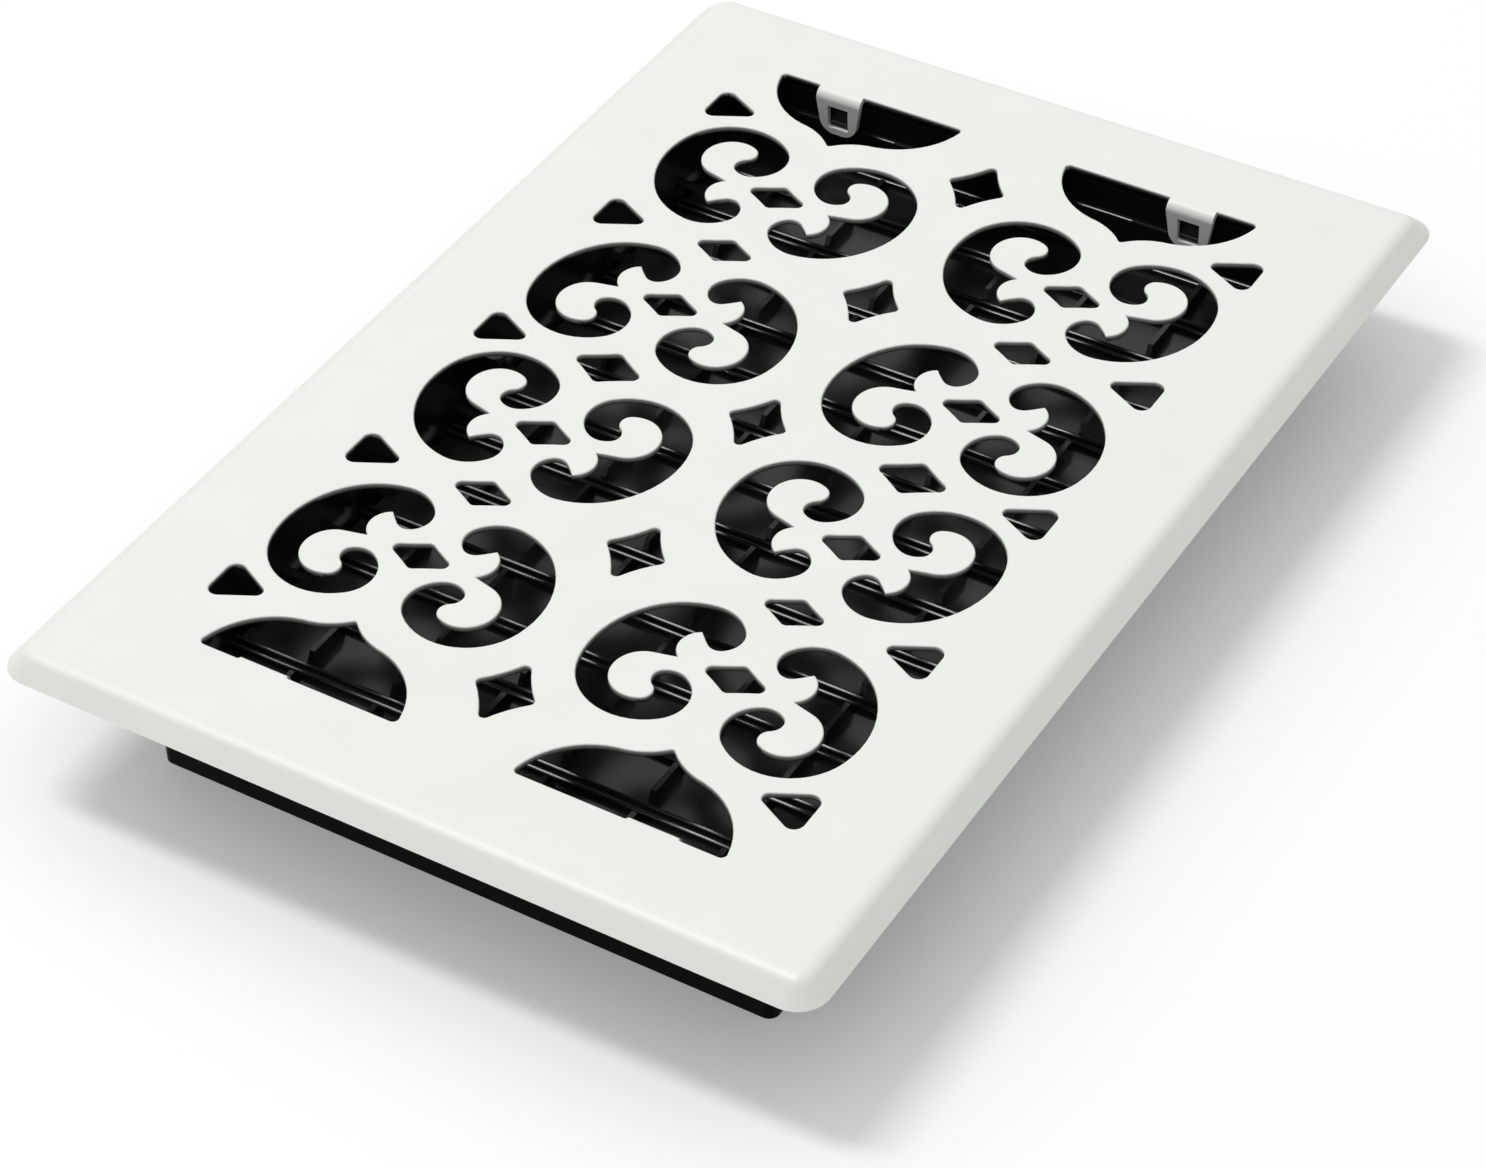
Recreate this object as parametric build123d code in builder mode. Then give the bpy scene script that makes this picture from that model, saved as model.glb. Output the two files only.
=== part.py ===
from build123d import *
import math
import os

os.makedirs("parts", exist_ok=True)

# Damper box, sized to drop into a 6 x 10 inch floor duct
box_width = 147.3
box_length = 236.2
box_wall = 1.6
box_corner = 2.4
rebate_depth = 0.6
rebate_height = 2.4
rebate_round = 0.3
ledge_drop = 10.1
ledge_depth = 1.4
stop_wall = 1.2
stop_inset = 2.8
stop_height = 20.5
moulded_round = 0.5

# Faceplate, a stamped sheet with a bevelled rim that lies on the floor round the duct
face_height = 36.0
flange_overhang = 21.6
sheet = 1.4
rim_drop = 4.0
rim_run = 4.9
face_corner = 7.0
crease_radius = 5.0

# Clip tabs bent down from the two end openings, and the barbs that they snap over
edge_to_wall = 1.4
tab_place = 45.8
tab_width = 11.6
tab_end_width = 8.8
tab_length = 11.2
tab_corner = 3.8
tab_bend = 2.4
tab_hole_width = 5.4
tab_hole_height = 5.9
tab_hole_drop = 3.6
barb_side_gap = 0.4
barb_foot_gap = 0.2
barb_reach = 0.6
barb_nose = 1.0
barb_slope = 3.6

# Cut pattern: two columns of four medallions, drawn for one cell and mirrored
column_place = 37.7
end_margin = 18.3
bell_half_width = 24.1
bell_height = 20.9
bell_side_inset = 4.8
bell_side_drop = 10.4
bell_shoulder = 9.9
bell_shoulder_drop = 15.8
bell_neck = 4.4
bell_neck_drop = 17.5
bell_corner = 1.2
bell_tip = 0.6
lozenge_half_width = 8.6
lozenge_half_height = 4.45
lozenge_hollow = 0.2
lozenge_tip = 1.4
middle_lozenge_half_width = 9.5
middle_lozenge_half_height = 5.6
middle_lozenge_hollow = 0.25
middle_lozenge_tip = 1.5
lozenge_offset = 1.3
star_half_width = 7.3
star_half_height = 10.0
star_hollow = 0.7
star_tip = 1.2
triangle_outer = 70.2
triangle_tip = 57.5
triangle_half_height = 6.5
triangle_corner = 2.2
triangle_tip_radius = 1.5

# Louvre vanes, closed in this position
vane_count = 14
vane_gap = 1.1
vane_end_gap = 0.5
vane_side_gap = 0.4
axis_height = 16.1
blade = 1.4
lip_width = 1.1
lip_height = 1.4
rib_count = 6
rib_pitch = 20.7
rib_thickness = 1.2
rib_height = 3.1
rib_end_run = 1.8
pivot_radius = 1.5
hub_radius = 2.3
hub_thickness = 1.4
running_gap = 0.05
pin_recess = 0.3

# Link bar beside the vanes, with the thumb tab that works them
swing_degrees = 80.0
crank_radius = 6.0
crank_pin_radius = 1.2
crank_arm_radius = 2.0
link_height = 4.4
link_thickness = 1.8
link_wall_gap = 0.5
link_vane_gap = 0.4
link_end = 2.9
thumb_thickness = 2.6
thumb_width = 9.5
thumb_offset = 3.4
thumb_drop = 4.0
thumb_height = 7.0
thumb_corner = 2.0

# Places that follow from the sizes above
face_width = box_width + 2 * flange_overhang
face_length = box_length + 2 * flange_overhang
sheet_under = face_height - sheet
inner_half_width = box_width / 2 - box_wall
inner_half_length = box_length / 2 - box_wall
end_edge = inner_half_length - edge_to_wall
tab_front = end_edge - tab_bend
tab_back = tab_front + sheet
tab_end = face_height - tab_length
ledge_front = inner_half_length - ledge_depth
ledge_top = face_height - ledge_drop
chamber_half = end_edge - stop_inset
vane_pitch = 2 * (chamber_half - vane_end_gap) / vane_count
vane_places = [(index - (vane_count - 1) / 2) * vane_pitch for index in range(vane_count)]
blade_right = inner_half_width - vane_side_gap
link_left = -inner_half_width + link_wall_gap
blade_left = link_left + link_thickness + link_vane_gap
row_pitch = (end_edge - end_margin) / 2
rest_angle = math.radians(swing_degrees / 2)
crank_y = -crank_radius * math.sin(rest_angle)
crank_z = -crank_radius * math.cos(rest_angle)
tab_hole_middle = face_height - tab_hole_drop - tab_hole_height / 2
barb_foot = tab_hole_middle - tab_hole_height / 2 + barb_foot_gap

# One scroll of a medallion, from its column's axis and its small-curl line: joints of tangent arcs
# from the cusp round both curls to the notch, and the bulb that closes it
scroll_heading = 14.0
scroll_joints = [
    (13.4, 22.8), (18.4, 24.0), (13.7, 36.8), (13.5, 32.2), (14.9, 29.4),
    (14.0, 27.7), (9.0, 27.1), (7.2, 39.9), (30.5, 32.8), (26.2, 12.7),
    (14.3, 6.0), (5.3, 10.0), (6.5, 16.9), (10.1, 16.8), (13.0, 14.1),
]
scroll_bulb = (15.6, 17.8)


def concave_lozenge(half_width, half_height, hollow, tip_radius):
    """Four corners joined by arcs that bow inwards by the given depth, then rounded."""
    corners = [(half_width, 0), (0, half_height), (-half_width, 0), (0, -half_height)]
    with BuildSketch(mode=Mode.PRIVATE) as lozenge:
        with BuildLine():
            for start, end in zip(corners, corners[1:] + corners[:1]):
                middle = (Vector(*start) + Vector(*end)) / 2
                bowed = middle - middle.normalized() * hollow
                ThreePointArc(start, bowed, end)
        make_face()
        fillet(lozenge.vertices(), tip_radius)
    return lozenge.sketch


# Faceplate
half_flat_width = face_width / 2 - rim_run
half_flat_length = face_length / 2 - rim_run
rim_angle = math.atan2(rim_drop, rim_run)
under_inset = sheet * math.tan(rim_angle / 2)
rim_taper = -math.degrees(math.atan2(rim_run, rim_drop))

with BuildPart() as faceplate:
    with BuildSketch(Plane.XY.offset(face_height)):
        RectangleRounded(2 * half_flat_width, 2 * half_flat_length, face_corner - rim_run)
    extrude(amount=-rim_drop, taper=rim_taper)
    fillet(faceplate.faces().sort_by(Axis.Z)[-1].edges(), crease_radius)
    with BuildSketch(Plane.XY.offset(sheet_under)):
        RectangleRounded(
            2 * (half_flat_width - under_inset),
            2 * (half_flat_length - under_inset),
            face_corner - rim_run - under_inset,
        )
    extrude(amount=-(rim_drop - sheet), taper=rim_taper, mode=Mode.SUBTRACT)

    with BuildSketch(Plane.XY.offset(face_height)):
        # Scroll pairs: mirrored on the column, on the small-curl line, then on both centre lines
        joints = [(column_place + across, row_pitch + along) for across, along in scroll_joints]
        bulb = (column_place + scroll_bulb[0], row_pitch + scroll_bulb[1])
        heading = Vector(1, 0).rotate(Axis.Z, scroll_heading)
        with BuildLine():
            for start, end in zip(joints, joints[1:]):
                bend = TangentArc(start, end, tangent=heading)
                heading = bend % 1
            ThreePointArc(joints[-1], bulb, joints[0])
        make_face()
        mirror(about=Plane.YZ.offset(column_place))
        mirror(about=Plane.XZ.offset(-row_pitch))
        mirror(about=Plane.YZ)
        mirror(about=Plane.XZ)
        # Lozenges in the medallions and between them
        small = concave_lozenge(lozenge_half_width, lozenge_half_height, lozenge_hollow, lozenge_tip)
        medallion_places = [
            (side * column_place, half * (row_pitch + row * (row_pitch / 2 - lozenge_offset)))
            for side in (-1, 1) for half in (-1, 1) for row in (-1, 1)
        ]
        between_places = [(side * column_place, half * row_pitch) for side in (-1, 1) for half in (-1, 1)]
        with Locations(*medallion_places, *between_places):
            add(small)
        middle = concave_lozenge(
            middle_lozenge_half_width,
            middle_lozenge_half_height,
            middle_lozenge_hollow,
            middle_lozenge_tip,
        )
        with Locations((-column_place, 0), (column_place, 0)):
            add(middle)
        # Four-point stars on the centre line
        star = concave_lozenge(star_half_width, star_half_height, star_hollow, star_tip)
        with Locations(*[(0, row * row_pitch) for row in (-2, -1, 0, 1, 2)]):
            add(star)

    with BuildSketch(Plane.XY.offset(face_height)):
        # Rounded triangles along both sides
        with BuildSketch(mode=Mode.PRIVATE) as triangle:
            with BuildLine():
                Polyline(
                    (triangle_tip, 0),
                    (triangle_outer, -triangle_half_height),
                    (triangle_outer, triangle_half_height),
                    close=True,
                )
            make_face()
            fillet(triangle.vertices().sort_by(Axis.X)[0], triangle_tip_radius)
            fillet(triangle.vertices().group_by(Axis.X)[-1], triangle_corner)
        with Locations(*[(0, row * row_pitch) for row in (-2, -1, 0, 1, 2)]):
            add(triangle.sketch)
        mirror(about=Plane.YZ)

    with BuildSketch(Plane.XY.offset(face_height)):
        # Ogee bells with a straight side towards each end
        apex = end_edge - bell_height
        right_end = column_place + bell_half_width
        with BuildSketch(mode=Mode.PRIVATE) as bell:
            with BuildLine():
                Line((column_place - bell_half_width, end_edge), (right_end, end_edge))
                ThreePointArc(
                    (right_end, end_edge),
                    (right_end - bell_side_inset, end_edge - bell_side_drop),
                    (column_place + bell_shoulder, end_edge - bell_shoulder_drop),
                )
                ThreePointArc(
                    (column_place + bell_shoulder, end_edge - bell_shoulder_drop),
                    (column_place + bell_neck, end_edge - bell_neck_drop),
                    (column_place, apex),
                )
                mirror(about=Plane.YZ.offset(column_place))
            make_face()
            fillet(bell.vertices().sort_by(Axis.Y)[0], bell_tip)
            fillet(bell.vertices().group_by(Axis.Y)[-1], bell_corner)
        add(bell.sketch)
        mirror(about=Plane.YZ)
        mirror(about=Plane.XZ)

    extrude(amount=-sheet, mode=Mode.SUBTRACT)

    # Clip tabs: the sheet bent down from the straight edge, narrowing to a round end
    for side in (-1, 1):
        with BuildSketch(Plane.YZ.offset(side * tab_place)):
            with BuildLine():
                Line((end_edge, face_height), (end_edge, sheet_under))
                RadiusArc(
                    (end_edge, sheet_under),
                    (tab_back, face_height - tab_bend),
                    -(tab_bend - sheet),
                )
                Polyline(
                    (tab_back, face_height - tab_bend),
                    (tab_back, tab_end),
                    (tab_front, tab_end),
                    (tab_front, face_height - tab_bend),
                )
                RadiusArc((tab_front, face_height - tab_bend), (end_edge, face_height), tab_bend)
            make_face()
            mirror(about=Plane.YZ)
        extrude(amount=tab_width / 2, both=True)
    with BuildSketch(Plane.XZ):
        with BuildLine():
            Polyline(
                (tab_place + tab_width / 2, face_height - tab_bend),
                (tab_place + tab_width / 2, tab_end),
                (tab_place + tab_end_width / 2, tab_end),
                close=True,
            )
        make_face()
        mirror(about=Plane.YZ.offset(tab_place))
        mirror(about=Plane.YZ)
    extrude(amount=end_edge, both=True, mode=Mode.SUBTRACT)
    tab_ends = faceplate.edges().filter_by(Axis.Y).group_by(Axis.Z)[0]
    fillet(tab_ends, tab_corner)
    with BuildSketch(Plane.XZ):
        with Locations((-tab_place, tab_hole_middle), (tab_place, tab_hole_middle)):
            Rectangle(tab_hole_width, tab_hole_height)
    extrude(amount=end_edge, both=True, mode=Mode.SUBTRACT)
faceplate.part.label = "faceplate"
export_step(faceplate.part, "parts/faceplate.step")

# Damper box: an open frame with stepped ends and a row of bearings in each side
with BuildPart() as damper_box:
    with BuildSketch():
        RectangleRounded(box_width, box_length, box_corner)
        RectangleRounded(
            box_width - 2 * box_wall,
            box_length - 2 * box_wall,
            box_corner - box_wall,
            mode=Mode.SUBTRACT,
        )
    extrude(amount=sheet_under)
    # Rebate inside the top edge
    with BuildSketch(Plane.XY.offset(sheet_under)):
        RectangleRounded(
            box_width - 2 * (box_wall - rebate_depth),
            box_length - 2 * (box_wall - rebate_depth),
            box_corner - box_wall + rebate_depth,
        )
    extrude(amount=-rebate_height, mode=Mode.SUBTRACT)
    rebate_floor = damper_box.faces().filter_by(Axis.Z).group_by(Axis.Z)[1][0]
    fillet(rebate_floor.inner_wires()[0].edges(), rebate_round)
    # Ledge behind the clip tabs, and the wall that the end vanes close against
    for near, far, top, rounded in (
        (ledge_front, inner_half_length, ledge_top, 1),
        (chamber_half, chamber_half + stop_wall, stop_height, 2),
    ):
        with BuildSketch(Plane.YZ) as wall:
            with Locations(((near + far) / 2, top / 2)):
                Rectangle(far - near, top)
            upper = wall.vertices().group_by(Axis.Y)[-1].sort_by(Axis.X)
            fillet(upper[:rounded], moulded_round)
            mirror(about=Plane.YZ)
        extrude(amount=inner_half_width, both=True)
    with BuildSketch(Plane.YZ):
        with Locations(*[(place, axis_height) for place in vane_places]):
            Circle(pivot_radius + running_gap)
    extrude(amount=box_width, both=True, mode=Mode.SUBTRACT)
    # Barbs that stand in the holes of the clip tabs
    for side in (-1, 1):
        with BuildSketch(Plane.YZ.offset(side * tab_place)):
            with BuildLine():
                Polyline(
                    (inner_half_length, barb_foot),
                    (tab_back - barb_reach, barb_foot),
                    (tab_back - barb_reach, barb_foot + barb_nose),
                    (inner_half_length, barb_foot + barb_nose + barb_slope),
                    close=True,
                )
            make_face()
            mirror(about=Plane.YZ)
        extrude(amount=tab_hole_width / 2 - barb_side_gap, both=True)
damper_box.part.label = "damper_box"
export_step(damper_box.part, "parts/damper_box.step")

# Vanes: a shallow channel with lips along both edges, cross ribs, pivot pins and a crank
vane_half = (vane_pitch - vane_gap) / 2
blade_half = blade / 2
lip_inside = vane_half - lip_width
lip_round = lip_width / 2
lip_shoulder = blade_half + lip_height - lip_round
rib_places = [(index - (rib_count - 1) / 2) * rib_pitch for index in range(rib_count)]

for number, place in enumerate(vane_places, start=1):
    left_end = Plane(origin=(blade_left, place, axis_height), x_dir=(0, 1, 0), z_dir=(1, 0, 0))
    with BuildPart() as vane:
        with BuildSketch(left_end):
            with BuildLine():
                Polyline(
                    (-vane_half, lip_shoulder),
                    (-vane_half, -blade_half),
                    (vane_half, -blade_half),
                    (vane_half, lip_shoulder),
                )
                ThreePointArc(
                    (vane_half, lip_shoulder),
                    (vane_half - lip_round, lip_shoulder + lip_round),
                    (lip_inside, lip_shoulder),
                )
                Polyline(
                    (lip_inside, lip_shoulder),
                    (lip_inside, blade_half),
                    (-lip_inside, blade_half),
                    (-lip_inside, lip_shoulder),
                )
                ThreePointArc(
                    (-lip_inside, lip_shoulder),
                    (-vane_half + lip_round, lip_shoulder + lip_round),
                    (-vane_half, lip_shoulder),
                )
            make_face()
        extrude(amount=blade_right - blade_left)
        for rib_place in rib_places:
            with BuildSketch(left_end.offset(rib_place - blade_left)):
                with BuildLine():
                    Polyline(
                        (-lip_inside, blade_half),
                        (lip_inside, blade_half),
                        (lip_inside - rib_end_run, blade_half + rib_height),
                        (-lip_inside + rib_end_run, blade_half + rib_height),
                        close=True,
                    )
                make_face()
            extrude(amount=rib_thickness / 2, both=True)
        # Pivot pins, with a hub on each end of the blade
        with BuildSketch(left_end.offset(blade_right - blade_left)):
            Circle(hub_radius)
        extrude(amount=-hub_thickness)
        with BuildSketch(left_end.offset(blade_right - blade_left)):
            Circle(pivot_radius)
        extrude(amount=box_width / 2 - pin_recess - blade_right)
        with BuildSketch(left_end):
            Circle(pivot_radius)
        extrude(amount=-(box_width / 2 - pin_recess + blade_left))
        # Crank arm and pin
        with BuildSketch(left_end):
            with Locations((crank_y / 2, crank_z / 2)):
                SlotCenterToCenter(crank_radius, 2 * crank_arm_radius, rotation=90 - swing_degrees / 2)
        extrude(amount=hub_thickness)
        with BuildSketch(left_end):
            with Locations((crank_y, crank_z)):
                Circle(crank_pin_radius)
        extrude(amount=-(link_vane_gap + link_thickness))
    name = f"vane_{number:02d}"
    vane.part.label = name
    export_step(vane.part, f"parts/{name}.step")

# Link bar: a strip with one hole for each crank pin, and the thumb tab that rises past the vanes
link_plane = Plane(origin=(link_left, 0, axis_height), x_dir=(0, 1, 0), z_dir=(1, 0, 0))
link_places = [place + crank_y for place in vane_places]
thumb_vane = vane_places[vane_count // 2 - 1]
thumb_top = face_height - thumb_drop - axis_height

with BuildPart() as link_bar:
    with BuildSketch(link_plane):
        with Locations((crank_y, crank_z)):
            SlotOverall(link_places[-1] - link_places[0] + 2 * link_end, link_height)
        with Locations((thumb_vane + thumb_offset, (thumb_top + crank_z) / 2)):
            Rectangle(thumb_thickness, thumb_top - crank_z)
        with Locations(*[(place, crank_z) for place in link_places]):
            Circle(crank_pin_radius + running_gap, mode=Mode.SUBTRACT)
    extrude(amount=link_thickness)
    with BuildSketch(link_plane):
        with Locations((thumb_vane + thumb_offset, thumb_top - thumb_height / 2)):
            Rectangle(thumb_thickness, thumb_height)
    extrude(amount=thumb_width)
    thumb_edges = link_bar.edges().filter_by(Axis.Y).group_by(Axis.X)[-1]
    fillet(thumb_edges, thumb_corner)
link_bar.part.label = "link_bar"
export_step(link_bar.part, "parts/link_bar.step")
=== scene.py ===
import math

import bmesh
import bpy
from mathutils import Matrix, Vector
from mathutils.geometry import delaunay_2d_cdt


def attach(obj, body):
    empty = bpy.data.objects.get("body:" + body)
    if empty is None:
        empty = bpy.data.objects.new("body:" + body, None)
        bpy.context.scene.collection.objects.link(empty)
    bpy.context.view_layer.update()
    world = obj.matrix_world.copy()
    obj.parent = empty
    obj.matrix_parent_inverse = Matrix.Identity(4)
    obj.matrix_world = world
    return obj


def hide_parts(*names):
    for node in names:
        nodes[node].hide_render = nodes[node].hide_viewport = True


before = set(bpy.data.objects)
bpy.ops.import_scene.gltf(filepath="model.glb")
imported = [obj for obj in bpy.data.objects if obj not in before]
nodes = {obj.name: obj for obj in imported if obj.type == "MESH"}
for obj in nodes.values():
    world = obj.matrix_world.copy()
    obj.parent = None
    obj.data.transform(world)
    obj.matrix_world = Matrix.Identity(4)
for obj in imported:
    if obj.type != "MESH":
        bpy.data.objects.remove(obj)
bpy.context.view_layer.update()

MM = 0.001

# Faceplate: its sheet, its clip tabs and the rounded upper edge of its openings
FACE_HEIGHT = 36.0 * MM
SHEET = 1.4 * MM
PATTERN_HALF_WIDTH = 80.0 * MM
PATTERN_HALF_LENGTH = 118.0 * MM
TAB_PLACE = 45.8 * MM
TAB_HALF_WIDTH = 5.8 * MM
TAB_ROOT = 115.1 * MM
TAB_FRONT = 112.7 * MM
TAB_BLEND = 0.5 * MM
NEAR_TAB_SHARE = 0.6
EDGE_ROUND = 0.4 * MM
EDGE_STEPS = 5
MITRE_LIMIT = 2.2
MITRE_FLOOR = 0.05
CUT_DEPTH = "cut_depth"

# Mesh work: what counts as level, upright, the same point or a sharp edge
TIGHT = 0.004 * MM
SEAM = 0.0005 * MM
JOIN = 0.002 * MM
SLIVER = 0.001 * MM
SAME_SPOT = 1e-6
INSIDE_TRIANGLES = 1
UPRIGHT = 0.02
SHARP_ANGLE = math.radians(35)
EVEN_WEIGHT = 80

# Vanes and box: the rounded upper edges that run across
VANE_COUNT = 14
VANE_GAP = 1.1 * MM
VANE_END_GAP = 0.5 * MM
CHAMBER_HALF_LENGTH = 112.3 * MM
VANE_PITCH = 2 * (CHAMBER_HALF_LENGTH - VANE_END_GAP) / VANE_COUNT
LIP_ROUND = 0.55 * MM
LIP_HEIGHT = 17.65 * MM
LIP_PLACE = (VANE_PITCH - VANE_GAP) / 2 - LIP_ROUND
MOULDED_ROUND = 0.5 * MM
STOP_WALL = 1.2 * MM
STOP_TOP = 20.5 * MM
LEDGE_FRONT = 115.1 * MM
LEDGE_TOP = 25.9 * MM

# Polished beads along those edges
BEAD_LEAN = math.radians(24.0)
BEAD_CROWN = 2.2 * MM
BEAD_HALF_WIDTH = 0.25 * MM
BEAD_DEPTH = 0.08 * MM
BEAD_RISE = 0.005 * MM
BEAD_STEPS = 6
LIP_BEAD_ENDS = (-69.0 * MM, 71.3 * MM)
STOP_BEAD_ENDS = (-71.5 * MM, 71.5 * MM)
LEDGE_BEAD_ENDS = {
    "left": (-52.0 * MM, -32.0 * MM),
    "right": (5.0 * MM, 30.5 * MM),
}

# Paint and plastic
PAINT_TINTS = ((0.838, 0.862, 0.815), (0.858, 0.880, 0.834))
# Cut walls darken with depth below the face: bare sheared steel, and painted shade down into the opening
CUT_WALL_STEEL_AND_SHADE_TINT = (0.050, 0.052, 0.050)
PLASTIC_TINTS = ((0.0092, 0.0089, 0.0085), (0.0132, 0.0128, 0.0122))
GLOSSY_SPECULAR = 0.50
MATT_SPECULAR = 0.05
GLOSS_CORE = (71.25 * MM, 111.40 * MM, 0.0)
GLOSS_ROUND = 2.3 * MM
BLACK = (0.0, 0.0, 0.0)
WHITE = (1.0, 1.0, 1.0)

# Camera at the photograph's angle
CAMERA_PLACE = (0.35872, -0.57571, 0.58712)
CAMERA_AIM = (0.02432, -0.04623, 0.03600)
CAMERA_ROLL = math.radians(-1.743)
CAMERA_LENS = 99.66
SENSOR_WIDTH = 36.0
CLIP_START = 0.01

# Light and floor
SKY_LEVEL = 0.92
SKY_AXIS = (-0.10, 0.0, 0.99)
SKY_LOW = 0.15
SKY_HIGH = 0.90
KEY_PLACE = (-0.96, -0.20, 2.84)
KEY_AIM = (0.0, 0.0, FACE_HEIGHT)
KEY_SIZE = (0.40, 1.00)
KEY_POWER = 33.5
FLOOR_SIZE = 8.0
FLOOR_HEIGHT = -0.2 * MM
FLOOR_TINT = (0.80, 0.80, 0.80)
FLOOR_GLOW = 0.22
FLOOR_BOUNCE_TINT = (0.25, 0.25, 0.25)


def new_material(name):
    """An empty node material, with its nodes and links."""
    material = bpy.data.materials.new(name)
    material.use_nodes = True
    material.node_tree.nodes.clear()
    return material, material.node_tree.nodes, material.node_tree.links


def solid(colour):
    """A colour with full opacity."""
    return (*colour, 1.0)


def shader(n, kind, **values):
    """A new shader node, with the given values on its inputs."""
    node = n.new(f"ShaderNode{kind}")
    for socket, value in values.items():
        node.inputs[socket.replace("_", " ")].default_value = value
    return node


def operator(n, kind, operation):
    """A new maths node that does one operation."""
    node = n.new(f"ShaderNode{kind}")
    node.operation = operation
    return node


def ramp(n, colours, places=(0.0, 1.0)):
    """A new colour ramp with two stops."""
    node = n.new("ShaderNodeValToRGB")
    for stop, colour, place in zip(node.color_ramp.elements, colours, places):
        stop.position = place
        stop.color = solid(colour)
    return node


def plate_paint():
    """Off-white satin powder coat, a faint mottle, and fine orange peel; down the cut walls it darkens with
    depth below the face, as bare sheared steel and painted shade.
    """
    material, n, link = new_material("plate_paint")
    out = shader(n, "OutputMaterial")
    paint = shader(n, "BsdfPrincipled", IOR=1.5)
    place = shader(n, "TexCoord")
    mottle = shader(n, "TexNoise", Scale=55.0, Detail=3.0)
    tint = ramp(n, PAINT_TINTS, (0.30, 0.70))
    # Painted shade, with bare sheared steel: the cut walls turn dark with depth below the face
    depth = shader(n, "Attribute")
    depth.attribute_name = CUT_DEPTH
    bare_steel_and_shade = ramp(n, (BLACK, WHITE), (0.12, 0.90))
    coat = shader(n, "Mix")
    coat.data_type = "RGBA"
    coat.inputs["B"].default_value = solid(CUT_WALL_STEEL_AND_SHADE_TINT)
    sheen = shader(n, "MapRange", To_Min=0.36, To_Max=0.44)
    peel = shader(n, "TexNoise", Scale=900.0, Detail=2.0)
    bump = shader(n, "Bump", Strength=0.06, Distance=0.2 * MM)
    for texture in (mottle, peel):
        link.new(place.outputs["Object"], texture.inputs["Vector"])
    link.new(mottle.outputs["Fac"], tint.inputs["Fac"])
    link.new(mottle.outputs["Fac"], sheen.inputs["Value"])
    link.new(peel.outputs["Fac"], bump.inputs["Height"])
    link.new(depth.outputs["Fac"], bare_steel_and_shade.inputs["Fac"])
    link.new(bare_steel_and_shade.outputs["Color"], coat.inputs["Factor"])
    link.new(tint.outputs["Color"], coat.inputs["A"])
    link.new(coat.outputs["Result"], paint.inputs["Base Color"])
    link.new(sheen.outputs["Result"], paint.inputs["Roughness"])
    link.new(bump.outputs["Normal"], paint.inputs["Normal"])
    link.new(paint.outputs["BSDF"], out.inputs["Surface"])
    return material


def outside_gloss(n, link, place):
    """One outside the glossy region, a rounded rectangle in plan, and nought within it."""
    last = place
    for operation, value in (
        ("ABSOLUTE", None),
        ("SUBTRACT", GLOSS_CORE),
        ("MAXIMUM", (0.0, 0.0, 0.0)),
        ("MULTIPLY", (1.0, 1.0, 0.0)),
    ):
        step = operator(n, "VectorMath", operation)
        if value is not None:
            step.inputs[1].default_value = value
        link.new(last, step.inputs[0])
        last = step.outputs["Vector"]
    reach = operator(n, "VectorMath", "LENGTH")
    link.new(last, reach.inputs[0])
    outside = operator(n, "Math", "GREATER_THAN")
    outside.inputs[1].default_value = GLOSS_ROUND
    link.new(reach.outputs["Value"], outside.inputs[0])
    return outside.outputs["Value"]


def damper_plastic(name, matt_outside):
    """Glossy black moulding with shallow waves, either all over or with matt outer walls and ends."""
    material, n, link = new_material(name)
    out = shader(n, "OutputMaterial")
    plastic = shader(n, "BsdfPrincipled", IOR=1.45, Specular_IOR_Level=GLOSSY_SPECULAR)
    place = shader(n, "TexCoord").outputs["Object"]
    flow = shader(n, "TexNoise", Scale=38.0, Detail=3.0)
    tint = ramp(n, PLASTIC_TINTS)
    gloss = shader(n, "MapRange", To_Min=0.17, To_Max=0.25)
    wave = shader(n, "TexNoise", Scale=90.0, Detail=1.0)
    bump = shader(n, "Bump", Strength=0.06, Distance=0.4 * MM)
    if matt_outside:
        level = shader(n, "MapRange", To_Min=GLOSSY_SPECULAR, To_Max=MATT_SPECULAR)
        link.new(outside_gloss(n, link, place), level.inputs["Value"])
        link.new(level.outputs["Result"], plastic.inputs["Specular IOR Level"])
    for texture in (flow, wave):
        link.new(place, texture.inputs["Vector"])
    link.new(flow.outputs["Fac"], tint.inputs["Fac"])
    link.new(flow.outputs["Fac"], gloss.inputs["Value"])
    link.new(wave.outputs["Fac"], bump.inputs["Height"])
    link.new(tint.outputs["Color"], plastic.inputs["Base Color"])
    link.new(gloss.outputs["Result"], plastic.inputs["Roughness"])
    link.new(bump.outputs["Normal"], plastic.inputs["Normal"])
    link.new(plastic.outputs["BSDF"], out.inputs["Surface"])
    return material


def dress(piece, material):
    """Gives a piece one material."""
    piece.data.materials.clear()
    piece.data.materials.append(material)


def new_piece(bm, name):
    """An object of the scene from a mesh under work, smooth except across its sharp edges."""
    bmesh.ops.recalc_face_normals(bm, faces=bm.faces)
    for face in bm.faces:
        face.smooth = True
    mesh = bpy.data.meshes.new(name)
    bm.to_mesh(mesh)
    bm.free()
    mesh.set_sharp_from_angle(angle=SHARP_ANGLE)
    piece = bpy.data.objects.new(name, mesh)
    bpy.context.scene.collection.objects.link(piece)
    return piece


def chain_loops(edges):
    """Closed runs of vertices that the given edges form."""
    beside = {}
    for edge in edges:
        first, second = edge.verts
        beside.setdefault(first, []).append(second)
        beside.setdefault(second, []).append(first)
    loops = []
    left = dict.fromkeys(beside)
    while left:
        start = next(iter(left))
        loop, previous, here = [], None, start
        while True:
            loop.append(here)
            left.pop(here, None)
            onward = [v for v in beside[here] if v is not previous]
            previous, here = here, onward[0]
            if here is start:
                break
        loops.append(loop)
    return loops


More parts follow.
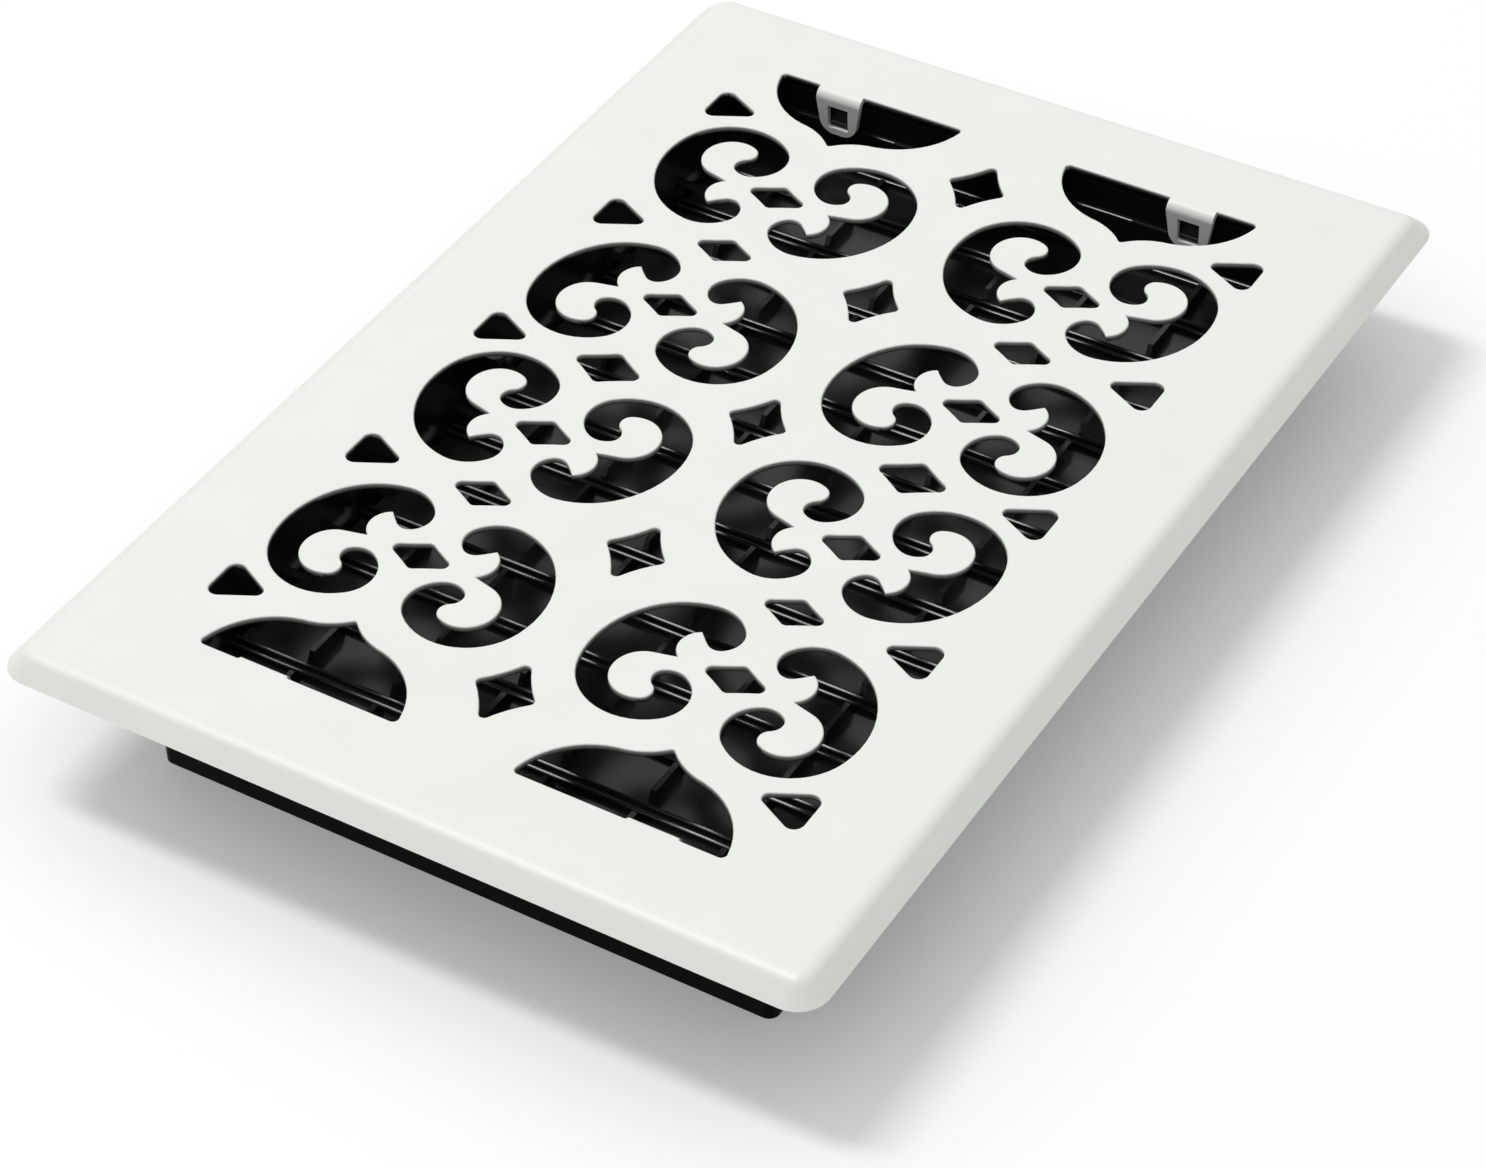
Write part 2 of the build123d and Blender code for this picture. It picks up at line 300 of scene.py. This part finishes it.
def outward_mitres(points):
    """For a closed outline, the offset of each corner that moves both its sides out by one unit."""
    count = len(points)
    area = 0.0
    for before, here in zip(points[-1:] + points[:-1], points):
        area += before.x * here.y - here.x * before.y
    turn = 1.0 if area > 0 else -1.0
    sides = []
    for i in range(count):
        run = (points[(i + 1) % count] - points[i]).normalized()
        sides.append(Vector((run.y, -run.x)) * turn)
    mitres = []
    for i in range(count):
        both = sides[i - 1] + sides[i]
        mitre = both / max(MITRE_FLOOR, 1.0 + sides[i - 1].dot(sides[i]))
        if mitre.length > MITRE_LIMIT:
            mitre = mitre.normalized() * MITRE_LIMIT
        mitres.append(mitre)
    return mitres


def in_tab(point):
    """Whether a point lies on one of the clip tabs or its root line, or farther out in line with it."""
    across = abs(abs(point.x) - TAB_PLACE)
    return across <= TAB_HALF_WIDTH + TIGHT and abs(point.y) >= TAB_FRONT - TIGHT


def blended(outline):
    """The outline with one more point beside each clip tab, where the rounding of the edge runs out."""
    points = []
    for here, onward in zip(outline, outline[1:] + outline[:1]):
        points.append(here)
        run = (onward - here).normalized() * TAB_BLEND
        if in_tab(here) and not in_tab(onward):
            points.append(here + run)
        elif in_tab(onward) and not in_tab(here):
            points.append(onward - run)
    return points


def fill_between(bm, outer, holes):
    """Triangles over a flat face, from its outer loop of vertices up to the loops of its holes."""
    loops = [outer, *holes]
    flat = [v for loop in loops for v in loop]
    spots = [Vector((v.co.x / MM, v.co.y / MM)) for v in flat]
    runs, start = [], 0
    for loop in loops:
        count = len(loop)
        runs += [(start + i, start + (i + 1) % count) for i in range(count)]
        start += count
    made, edges, faces, origin, edge_origin, _ = delaunay_2d_cdt(
        spots, runs, [], INSIDE_TRIANGLES, SAME_SPOT
    )
    fences = {frozenset(edge) for edge, sources in zip(edges, edge_origin) if sources}
    beside = {}
    for number, face in enumerate(faces):
        for i in range(3):
            beside.setdefault(frozenset((face[i - 1], face[i])), []).append(number)
    first_edge = {i for i, sources in enumerate(origin) if 0 in sources or 1 in sources}
    reached = set(beside[frozenset(first_edge)])
    waiting = list(reached)
    while waiting:
        face = faces[waiting.pop()]
        for i in range(3):
            edge = frozenset((face[i - 1], face[i]))
            if edge not in fences:
                onward = set(beside[edge]) - reached
                reached |= onward
                waiting += onward
    height = outer[0].co.z
    verts = []
    for spot, sources in zip(made, origin):
        if sources:
            verts.append(flat[sources[0]])
        else:
            verts.append(bm.verts.new((spot.x * MM, spot.y * MM, height)))
    for number in sorted(reached):
        bm.faces.new([verts[i] for i in faces[number]])


def tuck_near_tabs(bm):
    """Bends the near tabs more tightly at the root, so that they reach less far into the opening."""
    for vert in bm.verts:
        if in_tab(vert.co) and -TAB_ROOT < vert.co.y < 0.0:
            vert.co.y = (vert.co.y + TAB_ROOT) * NEAR_TAB_SHARE - TAB_ROOT


def level_faces(bm, height):
    """The faces that lie flat at a height."""
    return {f for f in bm.faces if all(abs(v.co.z - height) < TIGHT for v in f.verts)}


def border_loops(bm, faces):
    """The closed loops of vertices round a set of faces, the outermost one first."""
    edges = [e for e in bm.edges if sum(f in faces for f in e.link_faces) == 1]
    return sorted(chain_loops(edges), key=lambda loop: -max(abs(v.co.y) for v in loop))


def opening_walls(bm, under):
    """The upright faces round the openings, without those of the clip tabs."""
    walls = set()
    for face in bm.faces:
        spots = [v.co for v in face.verts]
        upright = abs(face.normal.z) < UPRIGHT
        in_sheet = all(p.z > under - TIGHT for p in spots)
        in_pattern = all(
            abs(p.x) < PATTERN_HALF_WIDTH and abs(p.y) < PATTERN_HALF_LENGTH for p in spots
        )
        if upright and in_sheet and in_pattern and not all(in_tab(p) for p in spots):
            walls.add(face)
    return walls


def edge_rings(bm, outline, top, under):
    """Rings of vertices from the face, over the rounded edge of an opening, down to the underside."""
    mitres = outward_mitres([Vector((p.x, p.y)) for p in outline])
    rings = []
    for step in range(EDGE_STEPS + 1):
        turn = math.pi / 2 * step / EDGE_STEPS
        ring = []
        for point, mitre in zip(outline, mitres):
            radius = 0.0 if in_tab(point) else EDGE_ROUND
            out = radius * (1.0 - math.sin(turn))
            drop = radius * (1.0 - math.cos(turn))
            ring.append(bm.verts.new((point.x + mitre.x * out, point.y + mitre.y * out, top - drop)))
        rings.append(ring)
    rings.append([bm.verts.new((p.x, p.y, under)) for p in outline])
    return rings


def fill_walls(bm, outline, rings, top, cut_depth):
    """Wall faces between the rings, except under a tab's root, with their depth below the face."""
    count = len(outline)
    for upper, lower in zip(rings, rings[1:]):
        for i in range(count):
            along = (i + 1) % count
            if in_tab(outline[i]) and in_tab(outline[along]):
                continue
            wall = bm.faces.new((upper[i], upper[along], lower[along], lower[i]))
            for corner in wall.loops:
                corner[cut_depth] = (top - corner.vert.co.z) / SHEET


def rounded_plate(node):
    """The solid faceplate with the upper edge of every opening rounded, as press and paint leave it."""
    bm = bmesh.new()
    bm.from_mesh(node.data)
    cut_depth = bm.loops.layers.float.new(CUT_DEPTH)
    bmesh.ops.remove_doubles(bm, verts=bm.verts, dist=SEAM)
    top = max(v.co.z for v in bm.verts)
    under = top - SHEET
    tuck_near_tabs(bm)
    top_faces = level_faces(bm, top)
    under_faces = level_faces(bm, under)
    top_outer, *top_loops = border_loops(bm, top_faces)
    under_outer = border_loops(bm, under_faces)[0]
    outlines = [blended([v.co.copy() for v in loop]) for loop in top_loops]
    walls = opening_walls(bm, under)
    bmesh.ops.delete(bm, geom=list(top_faces | under_faces | walls), context="FACES")
    top_holes, under_holes = [], []
    for outline in outlines:
        rings = edge_rings(bm, outline, top, under)
        fill_walls(bm, outline, rings, top, cut_depth)
        top_holes.append(rings[0])
        under_holes.append(rings[-1])
    fill_between(bm, top_outer, top_holes)
    fill_between(bm, under_outer, under_holes)
    bmesh.ops.remove_doubles(bm, verts=bm.verts, dist=JOIN)
    bmesh.ops.dissolve_degenerate(bm, dist=SLIVER, edges=bm.edges)
    loose = [v for v in bm.verts if not v.link_faces]
    bmesh.ops.delete(bm, geom=loose, context="VERTS")
    plate = new_piece(bm, "faceplate_painted")
    even = plate.modifiers.new("even_normals", "WEIGHTED_NORMAL")
    even.keep_sharp = True
    even.weight = EVEN_WEIGHT
    return plate


def edge_beads(name, ends, edges):
    """A low crowned bead, leaning to the near side, along edges given by centre line and radius."""
    bm = bmesh.new()
    along = Vector((0.0, math.cos(BEAD_LEAN), math.sin(BEAD_LEAN)))
    outward = Vector((0.0, -math.sin(BEAD_LEAN), math.cos(BEAD_LEAN)))
    section = [along * -BEAD_HALF_WIDTH - outward * BEAD_DEPTH]
    for step in range(BEAD_STEPS + 1):
        across = BEAD_HALF_WIDTH * (2.0 * step / BEAD_STEPS - 1.0)
        drop = BEAD_CROWN - math.sqrt(BEAD_CROWN ** 2 - across ** 2)
        section.append(along * across - outward * drop)
    section.append(along * BEAD_HALF_WIDTH - outward * BEAD_DEPTH)
    count = len(section)
    for place, height, radius in edges:
        top = Vector((0.0, place, height)) + outward * (radius + BEAD_RISE)
        rings = []
        for end in ends:
            rings.append([bm.verts.new(top + spot + Vector((end, 0.0, 0.0))) for spot in section])
        for i in range(count):
            onward = (i + 1) % count
            bm.faces.new((rings[0][i], rings[0][onward], rings[1][onward], rings[1][i]))
        for ring in rings:
            bm.faces.new(ring)
    return new_piece(bm, name)


def vane_lips(number):
    """The two rounded lips of a vane, each as its place, height and radius."""
    place = (number - (VANE_COUNT + 1) / 2) * VANE_PITCH
    return [(place + side * LIP_PLACE, LIP_HEIGHT, LIP_ROUND) for side in (-1, 1)]


def box_beads():
    """Beads along the low walls that the end vanes close against, and along the far ledge."""
    stop_height = STOP_TOP - MOULDED_ROUND
    stops = [
        (CHAMBER_HALF_LENGTH + MOULDED_ROUND, stop_height, MOULDED_ROUND),
        (MOULDED_ROUND - CHAMBER_HALF_LENGTH - STOP_WALL, stop_height, MOULDED_ROUND),
    ]
    ledge = (LEDGE_FRONT + MOULDED_ROUND, LEDGE_TOP - MOULDED_ROUND, MOULDED_ROUND)
    beads = [edge_beads("damper_box_edge_beads", STOP_BEAD_ENDS, stops)]
    for side, ends in LEDGE_BEAD_ENDS.items():
        beads.append(edge_beads(f"damper_box_ledge_bead_{side}", ends, [ledge]))
    return beads


def seen_rays(n, link):
    """One for rays from the camera, off glossy surfaces and through clear ones, and nought for the rest."""
    rays = shader(n, "LightPath")
    seen = operator(n, "Math", "MAXIMUM")
    clear = operator(n, "Math", "MAXIMUM")
    link.new(rays.outputs["Is Camera Ray"], seen.inputs[0])
    link.new(rays.outputs["Is Glossy Ray"], seen.inputs[1])
    link.new(seen.outputs["Value"], clear.inputs[0])
    link.new(rays.outputs["Is Transmission Ray"], clear.inputs[1])
    return clear.outputs["Value"]


def pale_floor():
    """A white floor that keeps the shadow and still reads as white to the camera."""
    material, n, link = new_material("pale_floor")
    out = shader(n, "OutputMaterial")
    matte = shader(n, "BsdfDiffuse", Color=solid(FLOOR_TINT))
    glow = shader(n, "Emission", Color=solid(WHITE), Strength=FLOOR_GLOW)
    both = shader(n, "AddShader")
    dim = shader(n, "BsdfDiffuse", Color=solid(FLOOR_BOUNCE_TINT))
    mix = shader(n, "MixShader")
    link.new(seen_rays(n, link), mix.inputs["Fac"])
    link.new(matte.outputs["BSDF"], both.inputs[0])
    link.new(glow.outputs["Emission"], both.inputs[1])
    link.new(dim.outputs["BSDF"], mix.inputs[1])
    link.new(both.outputs["Shader"], mix.inputs[2])
    link.new(mix.outputs["Shader"], out.inputs["Surface"])
    bpy.ops.mesh.primitive_plane_add(size=FLOOR_SIZE, location=(0.0, 0.0, FLOOR_HEIGHT))
    floor = bpy.context.object
    floor.name = "floor"
    dress(floor, material)


def surroundings():
    """White surroundings for the camera and for reflections, and sky light from overhead."""
    world = bpy.data.worlds.new("studio")
    bpy.context.scene.world = world
    world.use_nodes = True
    n, link = world.node_tree.nodes, world.node_tree.links
    n.clear()
    out = shader(n, "OutputWorld")
    sky = shader(n, "Background", Color=solid(WHITE))
    direction = shader(n, "TexCoord")
    upward = operator(n, "VectorMath", "DOT_PRODUCT")
    upward.inputs[1].default_value = SKY_AXIS
    fade = shader(n, "MapRange", From_Min=SKY_LOW, From_Max=SKY_HIGH, To_Max=SKY_LEVEL)
    fade.interpolation_type = "SMOOTHSTEP"
    white = shader(n, "Background", Color=solid(WHITE))
    mix = shader(n, "MixShader")
    link.new(direction.outputs["Generated"], upward.inputs[0])
    link.new(upward.outputs["Value"], fade.inputs["Value"])
    link.new(fade.outputs["Result"], sky.inputs["Strength"])
    link.new(seen_rays(n, link), mix.inputs["Fac"])
    link.new(sky.outputs["Background"], mix.inputs[1])
    link.new(white.outputs["Background"], mix.inputs[2])
    link.new(mix.outputs["Shader"], out.inputs["Surface"])


def key_lamp():
    """One soft lamp, high and to the left."""
    lamp = bpy.data.lights.new("key", "AREA")
    lamp.shape = "RECTANGLE"
    lamp.size, lamp.size_y = KEY_SIZE
    lamp.energy = KEY_POWER
    key = bpy.data.objects.new("key", lamp)
    key.location = KEY_PLACE
    key.rotation_euler = (Vector(KEY_AIM) - key.location).to_track_quat("-Z", "Y").to_euler()
    bpy.context.scene.collection.objects.link(key)


def photo_camera():
    """The camera, turned a little about its own axis."""
    lens = bpy.data.cameras.new("camera")
    lens.lens = CAMERA_LENS
    lens.sensor_width = SENSOR_WIDTH
    lens.sensor_fit = "HORIZONTAL"
    lens.clip_start = CLIP_START
    camera = bpy.data.objects.new("camera", lens)
    bpy.context.scene.collection.objects.link(camera)
    place = Vector(CAMERA_PLACE)
    facing = (Vector(CAMERA_AIM) - place).to_track_quat("-Z", "Y").to_matrix()
    turned = facing @ Matrix.Rotation(CAMERA_ROLL, 3, "Z")
    camera.matrix_world = Matrix.Translation(place) @ turned.to_4x4()
    bpy.context.scene.camera = camera


# Dress the part
paint = plate_paint()
plastic = damper_plastic("damper_plastic", matt_outside=True)
polished = damper_plastic("damper_plastic_polished", matt_outside=False)

plate = rounded_plate(nodes["faceplate"])
dress(plate, paint)
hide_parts("faceplate")
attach(plate, "frame")

for name, node in nodes.items():
    if name != "faceplate":
        dress(node, plastic)

for number in range(1, VANE_COUNT + 1):
    vane = f"vane_{number:02d}"
    beads = edge_beads(f"{vane}_lip_beads", LIP_BEAD_ENDS, vane_lips(number))
    dress(beads, plastic)
    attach(beads, vane)

for beads in box_beads():
    dress(beads, polished)
    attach(beads, "frame")

# Set the stage
pale_floor()
surroundings()
key_lamp()
photo_camera()
bpy.context.scene.view_settings.view_transform = "Standard"
